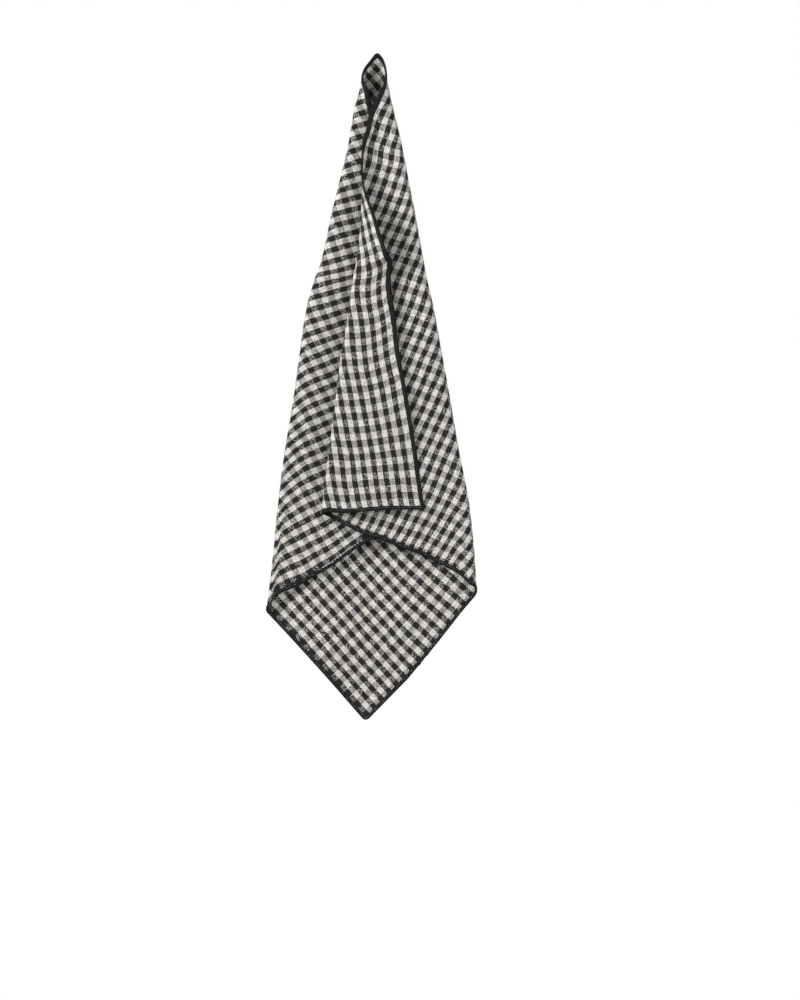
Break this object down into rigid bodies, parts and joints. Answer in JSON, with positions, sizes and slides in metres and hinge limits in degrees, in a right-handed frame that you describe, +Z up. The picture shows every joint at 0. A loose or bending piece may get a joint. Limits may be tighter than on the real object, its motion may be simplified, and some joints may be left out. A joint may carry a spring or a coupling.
{
  "type": "linen napkin",
  "caption": "Square gingham linen napkin with an overlocked edge, hanging by one corner and folded in on itself.",
  "frame": {"origin": "the corner of the cloth that the napkin hangs by", "axes": "+Z up along the length of the hanging napkin, -Y towards the front, where the open flap lies on top, +X to the right as seen from the front"},
  "size_m": [0.2031, 0.0462, 0.6477],
  "materials": {
    "gingham_linen": "plain-weave linen in black and off-white gingham checks, matt, with a black overlocked edge"
  },
  "bodies": {
    "root": {"napkin_cloth": "gingham_linen"}
  },
  "joints": []
}
